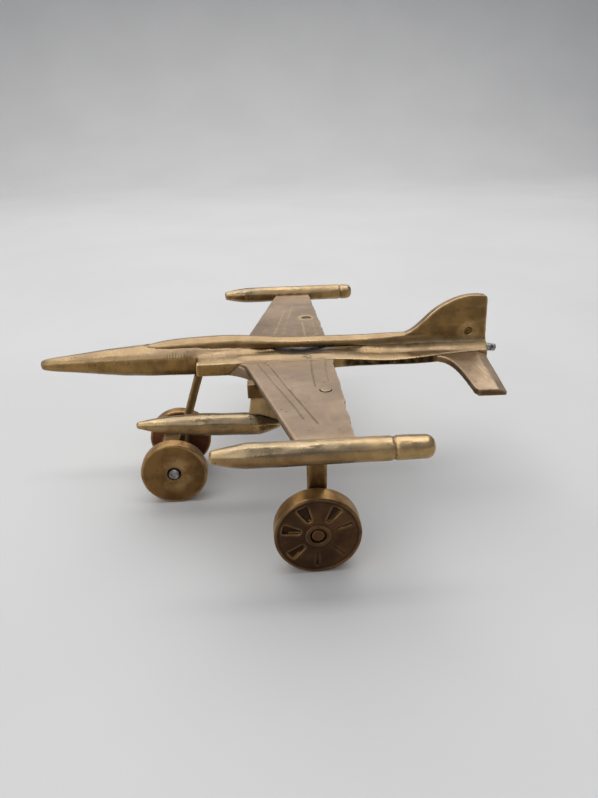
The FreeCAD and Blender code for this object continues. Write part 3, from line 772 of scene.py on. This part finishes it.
def pocketed(skin, depth):
    """Painted shade in the pockets of a main wheel's outer face, and painted highlights on their walls
    that face up.
    """
    outer = depth < OUTER_HALF
    radius = skin.turned
    shaded_pocket = step(depth, 0.45, 0.9) * (1 - step(radius, POCKET_END + 0.2, POCKET_END + 0.7)) * outer
    lit_walls = step(skin.normals()[:, Z], 0.25, 0.6) * step(lumps(skin.co, 1.5, 17), -0.5, 0.2)
    lit_walls = lit_walls * step(depth, 0.1, 0.4) * (1 - step(radius, POCKET_END, POCKET_END + 0.4))
    lit_walls = lit_walls * step(radius, 3.8, 4.4) * outer
    # painted shade in the pockets and painted highlights on their walls that face up
    skin.at_least("dirt_and_shade", 0.75 * shaded_pocket)
    skin.dirt_and_shade = skin.dirt_and_shade * (1 - lit_walls)
    skin.at_least("wear_and_highlight", lit_walls)


def wheel(node, axle, finish):
    skin = Skin(node, grain=0.22, soften=2)
    depth = MAIN_WHEEL_OUTER - np.abs(skin.co[:, Y])
    skin.turned = skin.off_axis(axle)
    skin.uneven(depth=0.05, size=3.0, seed=61 + len(node))
    # painted shade in the hole round the axle, together with grime there
    skin.at_least("dirt_and_shade", 0.8 * (1 - step(skin.turned, 2.2, 3.0)))
    if node.startswith("main"):
        pocketed(skin, depth)
    else:
        # painted highlight: the nose wheels' worn rims are brightened
        skin.wear_and_highlight = np.clip(1.8 * skin.wear_and_highlight, 0, 1)
    make_piece(skin, MATERIALS[finish])


fuselage()
spine_and_fin()
for word in SIDES:
    wing(word)
    tip_tank(word)
    tailplane(word)
    store(word)
    fitting("pylon_lug_" + word, 0.2, ["wing_" + word, "pylon_" + word])
    fitting("pylon_" + word, 0.2, ["store_" + word, "pylon_lug_" + word], "pylon_lit_brass")
    fitting("main_leg_" + word, 0.25, ["wing_" + word])
    fitting("leg_rivet_" + word, 0.15, [], "wing_brass", RIVET_GRIME[word])
    fitting("main_axle_" + word, 0.15, [], "wheel_brass")
    wheel("main_wheel_" + word, "main_axle_" + word, "wheel_brass")
wheel("nose_wheel_port", "nose_axle", "nose_wheel_brass")
wheel("nose_wheel_starboard", "nose_axle", "red_wheel_brass")
fitting("nose_leg", 0.25, ["fuselage", "nose_axle_block"])
fitting("nose_axle_block", 0.25, ["nose_leg"])
fitting("nose_axle", 0.15, [])
fitting("tail_pin", 0.15, ["fuselage"])
fitting("fin_pin", 0.15, [])


# ---- floor, light and camera ----
def floor_sheet():
    """Pale floor that curves up into a backdrop far behind. Its sizes are in metres."""
    back, front, half, bend, height = 1.3, -1.2, 2.6, 0.5, 1.6
    bend_steps = 12
    profile = [(front, 0.0), (back - bend, 0.0)]
    for i in range(1, bend_steps + 1):
        turn = math.pi / 2 * i / bend_steps
        profile.append((back - bend + bend * math.sin(turn), bend - bend * math.cos(turn)))
    profile.append((back, height))
    verts = [(side * half, y, z) for y, z in profile for side in (-1, 1)]
    faces = [(2 * i, 2 * i + 1, 2 * i + 3, 2 * i + 2) for i in range(len(profile) - 1)]
    mesh = bpy.data.meshes.new("floor")
    mesh.from_pydata(verts, [], faces)
    mesh.shade_smooth()
    g = Graph("pale_floor")
    g.link(g.blend(g.remap(g.noise(9, 6.0), 0.3, 0.7), tint(205, 204, 202), tint(201, 200, 198)),
           g.shader.inputs["Base Color"])
    g.shader.inputs["Roughness"].default_value = 0.8
    mesh.materials.append(g.material)
    floor = bpy.data.objects.new("floor", mesh)
    bpy.context.scene.collection.objects.link(floor)


TOY_MIDDLE = Vector((0, 0, 0.03))
CAMERA_PLACE = Vector((-0.004695, -0.203431, 0.1225))
CAMERA_YAW, CAMERA_PITCH, CAMERA_ROLL = 0.063, 0.430, 0.025    # radians: towards the tail, down, over
SENSOR_WIDTH, FOCAL_LENGTH = 36.0, 29.79                       # millimetres


def area_light(name, place, width, depth, power):
    """Soft light turned towards the toy, with its width along X."""
    light = bpy.data.lights.new(name, "AREA")
    light.shape = "RECTANGLE"
    light.size = width
    light.size_y = depth
    light.energy = power
    lamp = bpy.data.objects.new(name, light)
    lamp.location = place
    direction = TOY_MIDDLE - Vector(place)
    lamp.rotation_euler = direction.to_track_quat("-Z", "Y").to_euler()
    bpy.context.scene.collection.objects.link(lamp)


def studio():
    """A large soft light above and behind, a narrow one overhead, a weak one in front."""
    area_light("key", (0.0, 0.44, 0.86), width=1.3, depth=1.3, power=10.0)
    area_light("strip", (0.0, -0.12, 0.75), width=0.9, depth=0.1, power=1.1)
    area_light("fill", (-0.5, -0.6, 0.55), width=0.9, depth=0.9, power=2.6)
    world = bpy.data.worlds.new("room")
    world.use_nodes = True
    world.node_tree.nodes["Background"].inputs["Color"].default_value = (0.86, 0.90, 1.0, 1.0)
    world.node_tree.nodes["Background"].inputs["Strength"].default_value = 0.3
    bpy.context.scene.world = world
    bpy.context.scene.view_settings.view_transform = "Standard"


def camera():
    """Seen from the port side, a little above the wings."""
    ahead = Vector((math.sin(CAMERA_YAW) * math.cos(CAMERA_PITCH),
                    math.cos(CAMERA_YAW) * math.cos(CAMERA_PITCH), -math.sin(CAMERA_PITCH)))
    right = Vector((math.cos(CAMERA_YAW), -math.sin(CAMERA_YAW), 0))
    down = ahead.cross(right)
    rolled_right = math.cos(CAMERA_ROLL) * right + math.sin(CAMERA_ROLL) * down
    rolled_down = -math.sin(CAMERA_ROLL) * right + math.cos(CAMERA_ROLL) * down
    turn = Matrix((rolled_right, -rolled_down, -ahead)).transposed().to_4x4()
    lens = bpy.data.cameras.new("camera")
    lens.sensor_width = SENSOR_WIDTH
    lens.lens = FOCAL_LENGTH
    lens.clip_start = 0.005
    eye = bpy.data.objects.new("camera", lens)
    eye.matrix_world = Matrix.Translation(CAMERA_PLACE) @ turn
    bpy.context.scene.collection.objects.link(eye)
    bpy.context.scene.camera = eye


floor_sheet()
studio()
camera()
